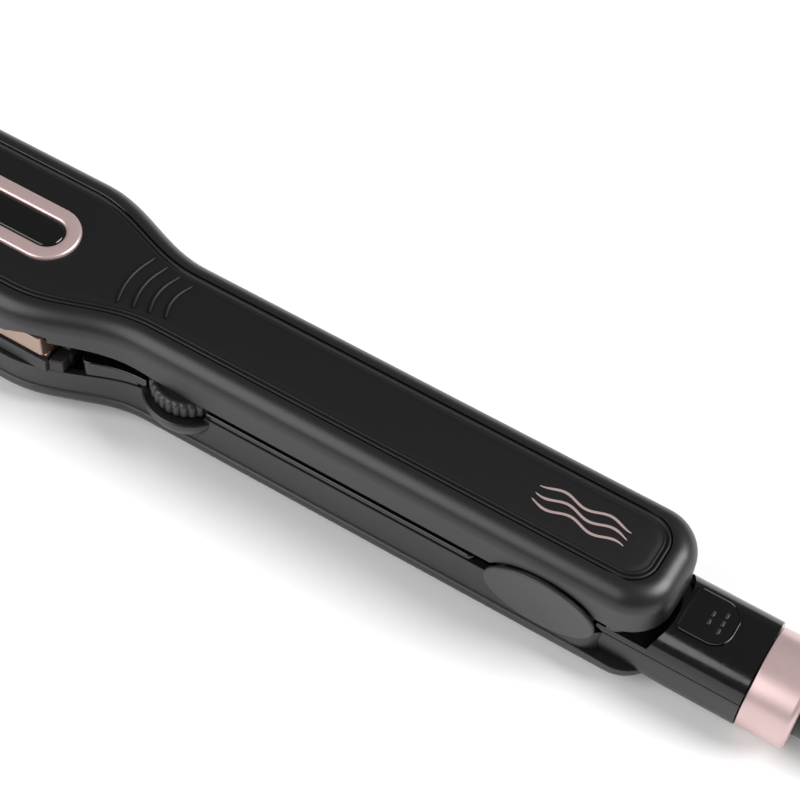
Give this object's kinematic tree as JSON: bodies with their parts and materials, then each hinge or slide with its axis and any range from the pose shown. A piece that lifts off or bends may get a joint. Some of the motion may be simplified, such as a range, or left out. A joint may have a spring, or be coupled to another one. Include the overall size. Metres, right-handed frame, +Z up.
{
  "type": "hair straightener",
  "caption": "Corded hair straightener with wide peach-coated plates, long flared arms with rose-gold trim, a thumbwheel, an end lock and a swivel cord; closed, with its cord folded and tied.",
  "frame": {"origin": "under the middle of the body, between the plates' tip and the boot's end, on the surface it lies on", "axes": "+X along the body towards the cord, +Y across the body to the far side, +Z up through both arms"},
  "size_m": [0.6096, 0.0486, 0.0409],
  "materials": {
    "shell_plastic": "satin-gloss moulded, dark grey",
    "deck_plastic": "fine satin, near black",
    "cover_plastic": "gloss moulded, black",
    "pad_plastic": "satin, mid grey",
    "rose_metal": "rose-gold metallised plastic, satin",
    "window_plastic": "high gloss, black",
    "plate_coating": "peach ceramic coating on aluminium, smooth",
    "heat_plastic": "glass-filled heat-proof moulding, matt",
    "heater_metal": "extruded case, plain",
    "spring_steel": "plain spring steel",
    "screw_steel": "zinc-plated, satin",
    "board_laminate": "green solder mask",
    "component_plastic": "moulded component case",
    "capacitor_film": "boxed film capacitor, yellow",
    "lead_sleeve": "silicone-sleeved wire",
    "silicone": "soft silicone",
    "contact_brass": "plain stamped brass",
    "pin_plating": "nickel-plated, bright satin",
    "cord_rubber": "extruded sheath, satin black"
  },
  "bodies": {
    "lower_arm": {"lower_shell": "shell_plastic", "lower_lid": "cover_plastic", "lower_carrier": "heat_plastic", "thermal_fuse": "pin_plating", "control_board": "board_laminate", "temperature_regulator": "component_plastic", "capacitor": "capacitor_film", "lower_heater_lead": "lead_sleeve", "supply_lead": "lead_sleeve", "rear_cover": "cover_plastic", "hinge_pad_near": "pad_plastic", "hinge_pad_far": "pad_plastic", "hinge_pin": "screw_steel", "opening_spring": "spring_steel", "lower_screw_1": "screw_steel", "lower_screw_2": "screw_steel", "lower_screw_3": "screw_steel", "collar": "rose_metal", "swivel_retainer": "component_plastic", "slip_contacts": "contact_brass", "cord_lead": "cord_rubber", "cord_hank": "cord_rubber", "cord_tail": "cord_rubber", "hank_tie": "cord_rubber", "plug_body": "cord_rubber", "plug_pin_1": "pin_plating", "plug_pin_2": "pin_plating"},
    "upper_arm": {"upper_shell": "shell_plastic", "deck_panel": "deck_plastic", "trim_ring": "rose_metal", "trim_window": "window_plastic", "upper_lid": "cover_plastic", "upper_plate": "plate_coating", "upper_heater": "heater_metal", "upper_heater_clip": "spring_steel", "upper_carrier": "heat_plastic", "upper_screw_1": "screw_steel", "upper_screw_2": "screw_steel", "upper_heater_lead": "lead_sleeve"},
    "floating_plate": {"lower_plate": "plate_coating", "lower_heater": "heater_metal", "lower_heater_clip": "spring_steel", "plate_cushion_front": "silicone", "plate_cushion_rear": "silicone", "temperature_sensor": "component_plastic"},
    "thumbwheel": {"thumbwheel": "cover_plastic"},
    "lock_slider": {"lock_slider": "cover_plastic"},
    "cord_swivel": {"swivel_boot": "cord_rubber"}
  },
  "joints": [
    {"name": "arm_hinge", "type": "hinge", "parent": "lower_arm", "child": "upper_arm", "pos_m": [0.0731, 0, 0.0221], "axis": [0, 1, 0], "range_deg": [0, 11]},
    {"name": "plate_float", "type": "slide", "parent": "lower_arm", "child": "floating_plate", "axis": [0, 0, 1], "range_m": [-0.0012, 0], "stiffness_N_per_m": 1500, "springref_m": 0.0008},
    {"name": "wheel_turn", "type": "hinge", "parent": "lower_arm", "child": "thumbwheel", "pos_m": [-0.0303, -0.0077, 0.0203], "axis": [0, 0, 1], "range_deg": [-135, 135]},
    {"name": "slider_travel", "type": "slide", "parent": "lower_arm", "child": "lock_slider", "axis": [1, 0, 0], "range_m": [0, 0.004]},
    {"name": "cord_turn", "type": "hinge", "parent": "lower_arm", "child": "cord_swivel", "pos_m": [0.1245, 0, 0.0129], "axis": [1, 0, 0], "continuous": true}
  ]
}
